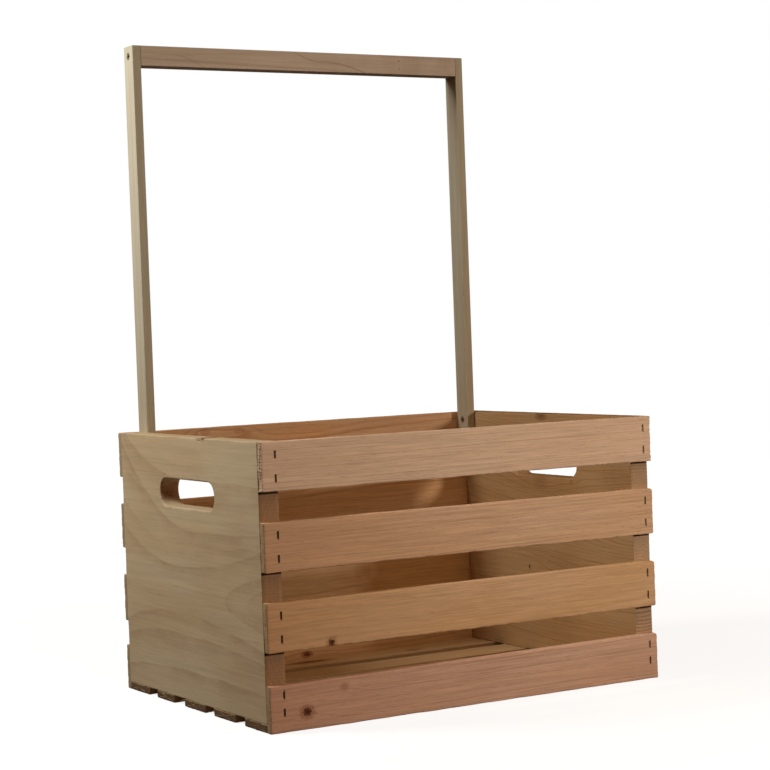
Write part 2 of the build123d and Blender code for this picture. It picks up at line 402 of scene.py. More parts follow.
def make_slats():
    """Every slat, by the name of the CAD slat that it stands for."""
    shapes = {
        "front_slat_1": {"rounding": (0, 0, 0, 1.2), "rough": 0.6},
        "front_slat_2": {"rounding": (0, 0, 0.8, 3.0)},
        "front_slat_3": {"rounding": (0, 0.8, 1.6, 3.2)},
        "front_slat_4": {"rounding": (0, 0, 0.6, 3.0), "wider": (0, -2.0, 1)},
        "rear_slat_3": {"wider": (2.2, 0, 0)},
        "floor_slat_4": {"wider": (-5.0, 0, 0.6)},
    }
    rows = (
        ("front", FRONT_SLATS, ALONG_X_FACING_Y, 1),
        ("rear", REAR_SLATS, ALONG_X_FACING_Y, -1),
        ("floor", FLOOR_SLATS, ALONG_X_FACING_Z, -1),
    )
    slats = {}
    for seed, (side, names, turn, face) in enumerate(rows):
        for number, node in enumerate(names):
            spots = []
            for end in ("left", "right"):
                spots += staple_spots(node, f"{side}_{end}_staples", turn)
            slat = make_slat(node, turn, face, spots, 100 * seed + number, **shapes.get(node, {}))
            slats[node] = slat
    return slats


SHOWN = {**NODES, **make_slats(), **make_boards()}


# ------------------------------------------------------------------ node helpers


class Net:
    """Adds nodes to one node tree. An input is a number, a colour, a vector or another node's socket."""

    def __init__(self, tree):
        self.tree = tree

    def add(self, kind, inputs=None, **settings):
        node = self.tree.nodes.new(kind)
        for key, value in settings.items():
            setattr(node, key, value)
        for key, value in (inputs or {}).items():
            self.feed(node.inputs[key], value)
        return node

    def feed(self, socket, value):
        if isinstance(value, bpy.types.NodeSocket):
            self.tree.links.new(value, socket)
        else:
            socket.default_value = value

    def math(self, operation, a, b=0.0, c=0.0, clamp=False):
        node = self.add("ShaderNodeMath", operation=operation, use_clamp=clamp)
        for socket, value in zip(node.inputs, (a, b, c)):
            self.feed(socket, value)
        return node.outputs[0]

    def times(self, a, b):
        return self.math("MULTIPLY", a, b)

    def minus(self, a, b):
        return self.math("SUBTRACT", a, b)

    def times_plus(self, a, b, c):
        return self.math("MULTIPLY_ADD", a, b, c)

    def vector(self, operation, a, b=(0, 0, 0), scale=1.0):
        node = self.add("ShaderNodeVectorMath", operation=operation)
        if operation == "SCALE":
            self.feed(node.inputs[0], a)
            self.feed(node.inputs["Scale"], scale)
        else:
            for socket, value in zip(node.inputs, (a, b)):
                self.feed(socket, value)
        return node.outputs["Value" if operation in ("LENGTH", "DOT_PRODUCT", "DISTANCE") else 0]

    def split(self, vector):
        return self.add("ShaderNodeSeparateXYZ", {0: vector}).outputs

    def join(self, x=0.0, y=0.0, z=0.0):
        return self.add("ShaderNodeCombineXYZ", {0: x, 1: y, 2: z}).outputs[0]

    def noise(self, vector, scale=1.0, detail=2.0, rough=0.5, output=0):
        return self.add(
            "ShaderNodeTexNoise",
            {"Vector": vector, "Scale": scale, "Detail": detail, "Roughness": rough},
        ).outputs[output]

    def ramp(self, value, low, high, out_low=0.0, out_high=1.0, smooth=True):
        node = self.add(
            "ShaderNodeMapRange",
            {"Value": value, "From Min": low, "From Max": high, "To Min": out_low, "To Max": out_high},
            interpolation_type="SMOOTHSTEP" if smooth else "LINEAR",
        )
        return node.outputs[0]

    def mix(self, share, a, b):
        node = self.add("ShaderNodeMix", data_type="RGBA")
        self.feed(node.inputs[0], share)
        self.feed(node.inputs[6], a)
        self.feed(node.inputs[7], b)
        return node.outputs[2]


def bare(owner):
    """A material or a world with its own nodes, and none in it yet."""
    owner.use_nodes = True
    owner.node_tree.nodes.clear()
    return Net(owner.node_tree)


def new_group(name, inputs, outputs):
    """A shader node group: inputs by name with their defaults, and outputs by name with their kinds."""
    tree = bpy.data.node_groups.new(name, "ShaderNodeTree")
    for label, default in inputs.items():
        kind = "Float"
        if isinstance(default, tuple):
            kind = "Color" if len(default) == 4 else "Vector"
        socket = tree.interface.new_socket(label, in_out="INPUT", socket_type="NodeSocket" + kind)
        socket.default_value = default
    for label, kind in outputs.items():
        tree.interface.new_socket(label, in_out="OUTPUT", socket_type="NodeSocket" + kind)
    net = Net(tree)
    return tree, net, net.add("NodeGroupInput").outputs, net.add("NodeGroupOutput").inputs


# ------------------------------------------------------------------ pine, as one solid pattern


# painted shadow: the colour laid on a board's cut edge under each slat
SLAT_SHADOW_PAINT = (0.05, 0.02, 0.009, 1)
NICK_SHADE = (0.13, 0.075, 0.04, 1)
KNOT_HEART = (0.085, 0.022, 0.008, 1)
PINE_INPUTS = {
    "Vector": (0, 0, 0),
    "Seed": 0.0,
    "Pith": (0, 60, 120),
    "Tilt": (0, 0, 0),
    "Bow": (0, 0, 0),
    "Spacing": 3.0,
    "Wander": 2.0,
    "Push": 0.0,
    "Early": (0.6, 0.45, 0.3, 1),
    "Late": (0.4, 0.25, 0.13, 1),
    "Tint": (0.6, 0.45, 0.3, 1),
    "Cut": (0.42, 0.3, 0.18, 1),
    "Rings": 0.6,
    "Fibre": 0.25,
    "Flecks": 0.4,
    "Dashes": 0.3,
    "Lines": 0.0,
    "Blotch": 0.3,
    # painted shade toward the low end
    "Shaded Low End": 0.0,
    "End Grain": 0.0,
    "Cut Rings": 0.15,
    # where the painted shadow under each slat falls on a board's cut edge
    "Painted Shadow Start": 0.0,
    "Painted Shadow Pitch": 1000.0,
    "Painted Shadow Width": 0.0,
    "Torn": 0.0,
    "Torn Depth": 0.15,
    "Knot": 0.0,
    "Halo": 0.0,
    "Wear": 0.0,
}


def make_pine_group():
    """Growth rings round a bent pith line, with fibre, flecks, blotches, knots and end grain.

    Vector is in metres with x along the grain. The pith runs along x at
    Pith + Tilt x + Bow x x, in millimetres for x in decimetres. A ring is late (dark) wood over
    the last part of each Spacing of distance from that line.
    """
    outputs = {"Color": "Color", "Roughness": "Float", "Height": "Float"}
    tree, net, g, out = new_group("pine", PINE_INPUTS, outputs)
    place = net.vector("SCALE", g["Vector"], scale=1000.0)
    seed = net.vector("SCALE", (7.31, 3.77, 5.19), scale=g["Seed"])
    spot = net.vector("ADD", place, net.vector("SCALE", seed, scale=40.0))

    def grain(along, across, detail=2.0, rough=0.5):
        """Noise with so many cells to a millimetre along the grain and across it."""
        return net.noise(net.vector("MULTIPLY", spot, (along, across, across)), 1.0, detail, rough)

    # where the pith line is, and how far this point is from it
    x = net.math("DIVIDE", net.split(place)[0], 100.0)
    along = net.vector("SCALE", g["Tilt"], scale=x)
    bent = net.vector("SCALE", g["Bow"], scale=net.times(x, x))
    pith = net.vector("ADD", g["Pith"], net.vector("ADD", along, bent))
    slow = net.vector("MULTIPLY", spot, (0.007, 0.02, 0.02))
    drift = net.noise(slow, 1.0, 2.0, 0.45, output=1)
    drift = net.vector("SCALE", net.vector("SUBTRACT", drift, (0.5, 0.5, 0.5)), scale=g["Wander"])
    offset = net.vector("ADD", net.vector("SUBTRACT", place, pith), drift)
    offset = net.vector("MULTIPLY", offset, (0, 1, 1))
    distance = net.math("ADD", net.vector("LENGTH", offset), g["Push"])

    # uneven years: the count of rings is stretched by a slow wave of the distance
    years = net.math("DIVIDE", distance, g["Spacing"])
    uneven = net.noise(net.join(net.times(years, 0.37), g["Seed"], 0.0), 1.0, 1.0)
    years = net.math("ADD", years, net.times(uneven, 1.3))
    ragged = grain(0.06, 0.9)
    years = net.math("ADD", years, net.times(net.minus(ragged, 0.5), 0.16))
    year = net.math("FLOOR", years)
    part = net.minus(years, year)
    luck = net.add(
        "ShaderNodeTexWhiteNoise", {"W": net.math("ADD", year, g["Seed"])}, noise_dimensions="1D"
    ).outputs["Value"]
    rise = net.ramp(part, 0.35, 0.92)
    fall = net.ramp(part, 0.93, 1.0, 1.0, 0.0)
    late = net.times(net.times(rise, fall), net.ramp(luck, 0.15, 1.0, 0.1, 1.0))

    # fibre: fine streaks along the grain, and sparse dark resin flecks
    coarse = grain(0.016, 0.85, 3.0, 0.6)
    fine = grain(0.05, 3.6, 2.0, 0.6)
    fleck = grain(0.11, 1.9, 1.0)
    fleck = net.ramp(fleck, 0.66, 0.76)
    dash = grain(0.022, 1.15, 3.0, 0.7)
    dash = net.ramp(dash, 0.54, 0.72)
    sheen = grain(0.012, 0.35)
    cloud = grain(0.006, 0.022)
    pores = grain(1.7, 1.7, 2.0, 0.7)

    color = net.mix(net.ramp(cloud, 0.3, 0.7, 0.0, g["Blotch"]), g["Early"], g["Tint"])
    color = net.mix(net.times(late, g["Rings"]), color, g["Late"])
    color = net.mix(net.times(dash, g["Dashes"]), color, g["Late"])
    # dark growth lines, and on rear slat 3 a painted shadow over all but its left part
    color = net.mix(g["Lines"], color, g["Late"])

    # painted shade: darker toward the low end, standing in for light that falls off there
    toward = net.math("POWER", net.ramp(x, -2.04, 0.9, 1.0, 0.0, smooth=False), 2.2)
    color = net.mix(net.times(toward, g["Shaded Low End"]), color, g["Late"])

    # light and dark bands, streaks and flecks, all along the grain
    color = net.vector("SCALE", color, scale=net.ramp(sheen, 0.25, 0.75, 0.94, 1.06))
    streak = net.math("ADD", net.times(coarse, 0.6), net.times(fine, 0.4))
    streak = net.minus(streak, 0.5)
    streak = net.times_plus(streak, net.times(g["Fibre"], 2.0), 1.0)
    color = net.vector("SCALE", color, scale=streak)
    color = net.mix(net.times(fleck, g["Flecks"]), color, g["Late"])

    # cut across the grain the rings show as arcs, and the wood is speckled instead of streaked
    ring = net.vector("MULTIPLY", g["Cut"], (0.55, 0.42, 0.34))
    band = net.times(net.times(rise, fall), net.ramp(distance, 45.0, 80.0, 0.2, 1.0))
    cut = net.mix(net.times(band, g["Cut Rings"]), g["Cut"], ring)
    cut = net.vector("SCALE", cut, scale=net.ramp(pores, 0.25, 0.75, 0.84, 1.14))
    color = net.mix(g["End Grain"], color, cut)

    # painted shadow: deep shade laid on the cut edge under each slat that crosses it, and fibres torn by the
    # saw
    under = net.minus(g["Painted Shadow Start"], net.split(place)[1])
    under = net.math("FLOORED_MODULO", under, g["Painted Shadow Pitch"])
    slat_shadow = net.ramp(under, net.times(g["Painted Shadow Width"], 0.6), g["Painted Shadow Width"], 1.0, 0.0)
    at_edge = net.ramp(net.math("ABSOLUTE", x), 1.1, 1.2)
    slat_shadow = net.times(net.times(slat_shadow, g["End Grain"]), at_edge)
    color = net.mix(net.times(slat_shadow, 0.95), color, SLAT_SHADOW_PAINT)
    color = net.mix(net.times(g["Torn"], g["Torn Depth"]), color, NICK_SHADE)

    # knots: a reddish rim of pressed grain, then nearly black in the middle
    color = net.mix(g["Halo"], color, net.vector("MULTIPLY", g["Late"], (0.62, 0.40, 0.27)))
    color = net.mix(g["Knot"], color, KNOT_HEART)

    # worn edges: burnished and slightly soiled
    rubbed = net.vector("MULTIPLY", color, (1.03, 1.05, 1.06))
    color = net.mix(g["Wear"], color, rubbed)
    net.feed(out["Color"], color)

    rough = net.times_plus(coarse, 0.18, 0.47)
    rough = net.times_plus(late, -0.07, rough)
    rough = net.times_plus(g["End Grain"], 0.18, rough)
    rough = net.times_plus(g["Wear"], -0.1, rough)
    rough = net.times_plus(g["Knot"], 0.3, rough)
    net.feed(out["Roughness"], rough)
    height = net.times(coarse, 0.35)
    height = net.times_plus(net.times(late, g["Rings"]), 0.9, height)
    height = net.times_plus(fine, 0.3, height)
    height = net.times_plus(fleck, -0.5, height)
    height = net.times_plus(g["Knot"], -0.9, height)
    net.feed(out["Height"], height)
    return tree


def make_knot_group():
    """One knot: an ellipse longer along the grain, the pressed grain round it, and its push on the rings."""
    tree, net, g, out = new_group(
        "knot",
        {
            "Vector": (0, 0, 0),
            "Centre": (0, 0, 0),
            "Radius": 3.0,
            "Stretch": 1.3,
            "Push": 3.0,
            "Dark": 1.0,
            "Rim": 0.8,
            "Knot In": 0.0,
            "Halo In": 0.0,
            "Push In": 0.0,
        },
        {"Knot": "Float", "Halo": "Float", "Push": "Float"},
    )
    away = net.vector("SUBTRACT", net.vector("SCALE", g["Vector"], scale=1000.0), g["Centre"])
    ragged = net.noise(net.vector("ADD", away, g["Centre"]), 0.5, 3.0, 0.65)
    ax, ay, az = net.split(away)
    flat = net.join(net.math("DIVIDE", ax, g["Stretch"]), ay, net.times(az, 0.12))
    size = net.math("DIVIDE", net.vector("LENGTH", flat), g["Radius"])
    size = net.times_plus(net.minus(ragged, 0.5), 1.3, size)
    rings = net.math("SINE", net.times(size, 13.0))
    rings = net.times_plus(rings, 0.22, 0.78)
    core = net.times(net.ramp(size, 0.25, 0.95, 1.0, 0.0), g["Dark"])
    rim = net.times(net.times(net.ramp(size, 0.7, 1.7, 1.0, 0.0), rings), g["Rim"])
    long = net.join(net.math("DIVIDE", ax, net.times(g["Stretch"], 2.2)), ay, 0.0)
    swell = net.math("DIVIDE", net.vector("LENGTH", long), net.times(g["Radius"], 2.4))
    swell = net.math("EXPONENT", net.times(net.times(swell, swell), -1.0))
    net.feed(out["Knot"], net.math("MAXIMUM", core, g["Knot In"]))
    net.feed(out["Halo"], net.math("MAXIMUM", rim, g["Halo In"]))
    net.feed(out["Push"], net.times_plus(swell, g["Push"], g["Push In"]))
    return tree


def make_line_group():
    """One dark growth line, or on rear slat 3 a painted shadow: a curve across the board, two half parabolas
    that meet at a turning point.

    In millimetres, width = Level + Rise (x - Low)^2 beyond Low and Level + Fall (x - Low)^2 before it.
    The line is sharp on its upper side and fades below it, over Width. Across turns it by a quarter.
    """
    tree, net, g, out = new_group(
        "growth_or_shadow_line",
        {
            "Vector": (0, 0, 0),
            "Low": 0.0,
            "Level": 0.0,
            "Rise": 0.001,
            "Fall": 0.001,
            "Width": 6.0,
            "Depth": 0.5,
            "Across": 0.0,
            "Line In": 0.0,
        },
        {"Line": "Float"},
    )
    place = net.vector("SCALE", g["Vector"], scale=1000.0)
    x, y, z = net.split(place)
    place = net.mix(g["Across"], place, net.join(y, x, z))
    wobble = net.noise(net.vector("MULTIPLY", place, (0.022, 0.022, 0.022)), 1.0, 3.0, 0.55)
    x, y, _ = net.split(place)
    run = net.minus(x, g["Low"])
    bend = net.ramp(net.math("GREATER_THAN", run, 0.0), 0.0, 1.0, g["Fall"], g["Rise"], smooth=False)
    curve = net.times_plus(net.times(run, run), bend, g["Level"])
    slope = net.times(net.times(run, bend), 2.0)
    steep = net.math("SQRT", net.times_plus(slope, slope, 1.0))
    below = net.math("DIVIDE", net.minus(curve, y), steep)
    below = net.times_plus(net.minus(wobble, 0.5), 5.0, below)
    edge = net.ramp(below, -0.5, 0.5)
    fade = net.math("SUBTRACT", 1.0, net.math("DIVIDE", below, g["Width"]), clamp=True)
    line = net.times(edge, net.math("POWER", fade, 1.6))
    faint = net.noise(net.vector("MULTIPLY", place, (0.03, 0.05, 0.05)), 1.0, 2.0, 0.5)
    line = net.times(line, net.ramp(faint, 0.3, 0.65, 0.4, 1.0))
    net.feed(out["Line"], net.times_plus(line, g["Depth"], g["Line In"]))
    return tree


def make_wear_group():
    """Wear is how near a point is to two faces at once, and Torn is short nicks at the sawn ends."""
    tree, net, g, out = new_group(
        "worn_arris",
        {"Vector": (0, 0, 0), "Half": (0.2, 0.02, 0.003), "Reach": 1.6},
        {"Wear": "Float", "Torn": "Float"},
    )
    inset = net.vector("SUBTRACT", g["Half"], net.vector("ABSOLUTE", g["Vector"]))
    a, b, c = net.split(net.vector("SCALE", inset, scale=1000.0))
    least = net.math("MINIMUM", net.math("MINIMUM", a, b), c)
    most = net.math("MAXIMUM", net.math("MAXIMUM", a, b), c)
    total = net.math("ADD", net.math("ADD", a, b), c)
    second = net.minus(net.minus(total, least), most)
    broken = net.noise(net.vector("SCALE", g["Vector"], scale=1000.0), 0.22, 3.0, 0.6)
    reach = net.times(g["Reach"], net.ramp(broken, 0.3, 0.7, 0.35, 1.5))
    net.feed(out["Wear"], net.math("SUBTRACT", 1.0, net.math("DIVIDE", second, reach), clamp=True))
    phase = net.times_plus(net.split(g["Vector"])[1], 2300.0, net.times(broken, 9.0))
    nicks = net.ramp(net.math("SINE", phase), 0.4, 0.95)
    nicks = net.times(nicks, net.ramp(broken, 0.3, 0.6, 0.35, 1.0))
    net.feed(out["Torn"], net.times(nicks, net.ramp(a, 0.4, 1.4, 1.0, 0.0)))
    return tree


PINE = make_pine_group()
KNOT = make_knot_group()
LINE = make_line_group()
ARRIS = make_wear_group()


def chain(net, tree, place, settings, results):
    """Groups of one kind in a row, each passing its results on to the next. Returns the last one."""
    last = None
    for values in settings:
        step = net.add("ShaderNodeGroup", node_tree=tree)
        net.feed(step.inputs["Vector"], place)
        for key, value in values.items():
            net.feed(step.inputs[key], value)
        for key in results if last is not None else ():
            net.feed(step.inputs[key + " In"], last.outputs[key])
        last = step
    return last


def pine_material(name, node, turn, values, knots, lines, bump):
    """Pine for one board: its pattern is centred on the board, with x along the grain."""
    material = bpy.data.materials.new(name)
    net = bare(material)
    low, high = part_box(node)
    coordinates = net.add("ShaderNodeTexCoord")
    mapping = net.add(
        "ShaderNodeMapping",
        {
            "Vector": coordinates.outputs["Object"],
            "Location": centre(node),
            "Rotation": turn.to_euler(),
        },
        vector_type="TEXTURE",
    )
    place = mapping.outputs[0]
    half = turn.inverted() @ ((high - low) / 2)
    half = Vector(abs(v) for v in half)
    grain_axis = turn @ Vector((1, 0, 0))
    facing = net.vector("DOT_PRODUCT", coordinates.outputs["Normal"], grain_axis)
    end = net.ramp(net.math("ABSOLUTE", facing), 0.55, 0.9)
    wear = net.add("ShaderNodeGroup", node_tree=ARRIS)
    net.feed(wear.inputs["Vector"], place)
    net.feed(wear.inputs["Half"], half)
    wood = net.add("ShaderNodeGroup", node_tree=PINE)
    net.feed(wood.inputs["Vector"], place)
    net.feed(wood.inputs["End Grain"], end)
    net.feed(wood.inputs["Wear"], wear.outputs["Wear"])
    net.feed(wood.inputs["Torn"], wear.outputs["Torn"])
    for key, value in values.items():
        net.feed(wood.inputs[key], value)
    for tree, settings, results, inputs in (
        (KNOT, knots, ("Knot", "Halo", "Push"), ("Knot", "Halo", "Push")),
        (LINE, lines, ("Line",), ("Lines",)),
    ):
        last = chain(net, tree, place, settings, results)
        if last is not None:
            for result, key in zip(results, inputs):
                net.feed(wood.inputs[key], last.outputs[result])
    relief = net.add("ShaderNodeBump", {"Height": wood.outputs["Height"], "Strength": 1.0, "Distance": bump})
    shader = net.add(
        "ShaderNodeBsdfPrincipled",
        {
            "Base Color": wood.outputs["Color"],
            "Roughness": wood.outputs["Roughness"],
            "Normal": relief.outputs[0],
            "Specular IOR Level": 0.22,
        },
    )
    net.add("ShaderNodeOutputMaterial", {"Surface": shader.outputs[0]})
    return material


def dress(obj, material):
    obj.data.materials.clear()
    obj.data.materials.append(material)


# ------------------------------------------------------------------ each board's own wood

PLAIN_CUT = (0.40, 0.33, 0.22)


def tones(early, late, tint, cut=PLAIN_CUT):
    """The colours of early and late wood, of the blotches, and of wood cut across the grain."""
    return {"Early": (*early, 1), "Late": (*late, 1), "Tint": (*tint, 1), "Cut": (*cut, 1)}


def figure(seed, pith, spacing, wander, rings, tilt=(0, 0, 0)):
    """The rings of one board: where its pith is and leans, in mm, and how they are spaced and drawn."""
    values = {"Seed": seed, "Pith": (0, *pith), "Tilt": tilt}
    return {**values, "Spacing": spacing, "Wander": wander, "Rings": rings}


def streaks(fibre, dashes, flecks, blotch):
    """How strong the fine marks of one board are."""
    return {"Fibre": fibre, "Dashes": dashes, "Flecks": flecks, "Blotch": blotch}


def knot(centre, radius, stretch, push, dark, rim):
    """One knot at a place in mm from the middle of its board."""
    values = {"Centre": centre, "Radius": radius, "Stretch": stretch}
    return {**values, "Push": push, "Dark": dark, "Rim": rim}


def line(low, level, rise, fall, width, depth):
    """One growth line: its turning point, how it bends on either side, and how wide and deep it is."""
    return {"Low": low, "Level": level, "Rise": rise, "Fall": fall, "Width": width, "Depth": depth}


LEFT_BOARD = tones((0.59, 0.50, 0.35), (0.43, 0.315, 0.2), (0.55, 0.435, 0.285), (0.40, 0.235, 0.135))
RIGHT_BOARD = tones((0.50, 0.33, 0.175), (0.30, 0.16, 0.065), (0.45, 0.26, 0.115), (0.56, 0.39, 0.26))
REAR = (
    tones((0.60, 0.385, 0.235), (0.40, 0.17, 0.07), (0.62, 0.33, 0.15)),
    tones((0.71, 0.485, 0.31), (0.45, 0.215, 0.09), (0.68, 0.40, 0.20)),
    # rear slat 3: a pale copy, painted light on its left part; the painted shadow line below darkens the rest
    tones((0.86, 0.66, 0.47), (0.60, 0.36, 0.17), (0.80, 0.56, 0.36)),
    tones((0.67, 0.45, 0.27), (0.45, 0.21, 0.08), (0.69, 0.38, 0.15)),
)
# painted shadow: darkens rear slat 3 right of its pale, lit-looking left part
REAR_PAINTED_SHADE = {"rear_slat_3": ({**line(0, 204, 0.0, 0.0, 190, 9.0), "Across": 1.0},)}
FLOOR = tones((0.70, 0.52, 0.32), (0.43, 0.24, 0.11), (0.66, 0.44, 0.23), (0.17, 0.11, 0.065))
FRONT = (
    tones((0.825, 0.623, 0.50), (0.60, 0.365, 0.24), (0.783, 0.556, 0.412), (0.66, 0.52, 0.37)),
    tones((0.784, 0.543, 0.392), (0.55, 0.285, 0.16), (0.742, 0.47, 0.287), (0.42, 0.32, 0.19)),
    tones((0.784, 0.525, 0.329), (0.55, 0.285, 0.14), (0.742, 0.466, 0.244), (0.44, 0.33, 0.19)),
    tones((0.799, 0.533, 0.426), (0.55, 0.285, 0.19), (0.735, 0.453, 0.325), (0.43, 0.32, 0.20)),
)
POST_TONES_RIGHT_SHADED = (
    tones((0.49, 0.475, 0.40), (0.39, 0.32, 0.19), (0.46, 0.42, 0.335), (0.44, 0.37, 0.27)),
    # right post: the left post's tones made darker and yellower, painted shade for its left face
    tones((0.44, 0.415, 0.33), (0.35, 0.26, 0.155), (0.44, 0.36, 0.26), (0.39, 0.32, 0.22)),
)
RAIL_TONES = tones((0.605, 0.51, 0.46), (0.36, 0.25, 0.18), (0.575, 0.47, 0.39), (0.42, 0.34, 0.27))

LEFT_LINES = (
    line(10, 82, 0.0025, -0.0001, 40, 0.7),
    line(-10, 35, 0.0033, 0.0003, 30, 0.75),
    line(25, 1.5, 0.0023, 0.0009, 20, 0.7),
    line(35, -40, -0.0015, -0.0006, 15, 0.7),
    line(30, -58.5, -0.001, -0.00035, 34, 0.65),
    line(0, -91.5, -0.0004, -0.0002, 20, 0.7),
    line(55, 62, 0.004, 0.0001, 14, 0.35),
    line(20, 17, 0.0028, 0.0006, 10, 0.35),
    {**line(-22, -70, -0.1, -0.17, 22, 0.6), "Across": 1.0},
    {**line(-22, -112, -0.12, -0.2, 14, 0.4), "Across": 1.0},
)
RAIL_LINES = (
    line(18, 1, -0.0044, 0.011, 2.2, 1.0),
    line(-150, 3, -0.008, 0.0, 2.0, 0.6),
    line(60, 9.2, -0.0002, -0.0002, 1.0, 0.5),
    {**line(0, 204, 0.0, 0.0, 300, 0.6), "Across": 1.0},
)

SLAT_LOWS = [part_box(node)[0][2] for node in FRONT_SLATS]
# painted shadow: one band under each front slat on the boards' cut edges
PAINTED_SLAT_SHADOWS = {
    "Painted Shadow Start": (SLAT_LOWS[0] - centre("left_end_board")[2]) / MM,
    "Painted Shadow Pitch": (SLAT_LOWS[0] - SLAT_LOWS[1]) / MM,
    "Painted Shadow Width": 2.9,
}

WOODS = {
    "left_end_board": (
        ALONG_Y_FACING_X,
        {
            **LEFT_BOARD,
            **PAINTED_SLAT_SHADOWS,
            **figure(1.0, (4, 160), 4.5, 9.0, 0.06, (0, 9, 0)),
            **streaks(0.11, 0.08, 0.1, 1.0),
            "Bow": (0, 2.5, -4.5),
        },
        (knot((-33, 119, -9.5), 2.9, 2.3, 0.0, 0.95, 0.8),),
        LEFT_LINES,
    ),
    "right_end_board": (
        ALONG_Y_FACING_X,
        {
            **RIGHT_BOARD,
            **PAINTED_SLAT_SHADOWS,
            **figure(2.0, (12, 10), 3.3, 11.0, 0.5, (0, 4, 3)),
            **streaks(0.25, 0.35, 0.45, 0.9),
            "Bow": (0, 3, -4),
            "Cut Rings": 0.75,
        },
        (
            knot((6, 50, -9.5), 6.0, 1.5, 9.0, 0.05, 0.25),
            knot((-128, 66, -4.0), 20.0, 1.3, 0.0, 0.0, 0.2),
            knot((-46, 53, -9.5), 2.2, 1.3, 3.0, 0.1, 0.3),
            knot((2, 117, -9.5), 4.0, 2.0, 5.0, 0.25, 0.7),
            knot((56, -26, -9.5), 9.0, 1.3, 14.0, 0.0, 0.0),
            knot((30, -35, -9.5), 2.8, 0.6, 3.0, 1.0, 0.5),
        ),
        (),
    ),
}
FRONT_FIGURES = (
    {**figure(11.0, (85, 60), 1.9, 3.0, 0.4, (0, 1, 0)), **streaks(0.55, 0.42, 0.5, 0.4)},
    {**figure(12.0, (70, 70), 2.4, 4.0, 0.4, (0, 2, 0)), **streaks(0.55, 0.4, 0.5, 0.7)},
    {**figure(13.0, (40, 150), 5.5, 9.0, 0.42, (0, 9, 0)), **streaks(0.5, 0.25, 0.3, 0.8)},
    {**figure(14.0, (90, 60), 2.1, 4.0, 0.42, (0, 1, 0)), **streaks(0.55, 0.42, 0.4, 0.6)},
)
FRONT_LOW_END_SHADE = (0.1, 0.5, 0.6, 0.6)  # painted shade: how much darker each is made toward its low end
FRONT_NICKS = (0.6, 0.15, 0.15, 0.15)  # how dark the saw's nicks are at each one's ends
KNOTS = {
    "front_slat_3": (knot((-142.8, -17.6, 3.5), 4.1, 1.0, 3.0, 1.0, 0.7),),
    "front_slat_4": (
        knot((-168.5, -6.0, 3.5), 5.0, 1.25, 6.0, 0.95, 0.8),
        knot((-132.0, 11.0, 3.5), 3.0, 1.3, 3.5, 0.12, 0.45),
    ),
    "rear_slat_4": (knot((-12.0, -9.5, 3.5), 3.0, 1.8, 4.0, 0.7, 1.0),),
    "floor_slat_5": (
        knot((-20.0, 2.0, 3.5), 5.5, 4.0, 3.0, 0.35, 1.0),
        knot((96.0, -6.0, 3.5), 4.0, 2.0, 3.0, 0.1, 0.6),
    ),
    "rear_slat_1": (
        knot((-115.0, 17.0, 3.5), 3.5, 1.2, 9.0, 0.0, 0.35),
        knot((-78.0, 16.0, 3.5), 3.0, 1.5, 7.0, 0.0, 0.3),
        knot((118.0, -13.0, -3.5), 3.2, 1.3, 4.0, 0.9, 0.8),
    ),
    "rear_slat_3": (knot((-60.0, -5.0, -3.5), 4.2, 1.2, 5.0, 0.8, 0.8),),
}
for n, (node, rear_node) in enumerate(zip(FRONT_SLATS, REAR_SLATS)):
    # painted shade toward each front slat's low end, and the saw's nicks at its ends
    end_shade_and_nicks = {"Shaded Low End": FRONT_LOW_END_SHADE[n], "Torn Depth": FRONT_NICKS[n]}
    grain = {**FRONT[n], **FRONT_FIGURES[n], **end_shade_and_nicks}
    WOODS[node] = (ALONG_X_FACING_Y, grain, KNOTS.get(node, ()), ())
    grain = {**REAR[n], **figure(21.0 + n, (50, 60), 3.2, 8.0, 0.6, (0, 4, 0)), **streaks(0.5, 0.3, 0.4, 0.8)}
    WOODS[rear_node] = (ALONG_X_FACING_Y, grain, KNOTS.get(rear_node, ()), REAR_PAINTED_SHADE.get(rear_node, ()))
for n, node in enumerate(FLOOR_SLATS):
    rings = figure(31.0 + n, (20 - 20 * n, 50), 3.2, 6.0, 0.45, (0, 5, 0))
    grain = {**FLOOR, **rings, **streaks(0.3, 0.3, 0.4, 0.7)}
    WOODS[node] = (ALONG_X_FACING_Z, grain, KNOTS.get(node, ()), ())
for n, node in enumerate(POSTS):
    rings = figure(40.0 + n, (40, 60), 3.0, 4.0, 0.3)
    # painted shade: the posts are made darker toward their feet
    grain = {**POST_TONES_RIGHT_SHADED[n], **rings, **streaks(0.25, 0.25, 0.3, 0.5), "Shaded Low End": 0.5}
    WOODS[node] = (ALONG_Z_FACING_Y, grain, (), ())
rings = figure(45.0, (40, 60), 4.0, 4.0, 0.4, (0, -3, 0))
WOODS[RAIL] = (ALONG_X_FACING_Y, {**RAIL_TONES, **rings, **streaks(0.25, 0.35, 0.3, 0.5)}, (), RAIL_LINES)

SAWN_RELIEF = 0.00022  # metres, on boards and slats
PLANED_RELIEF = 0.0001  # metres, on the sticks of the handle
for node, (turn, values, knots, lines) in WOODS.items():
    relief = PLANED_RELIEF if node in (*POSTS, RAIL) else SAWN_RELIEF
    wood = pine_material(node + "_pine", node, turn, values, knots, lines, relief)
    dress(SHOWN[node], wood)


# ------------------------------------------------------------------ metal


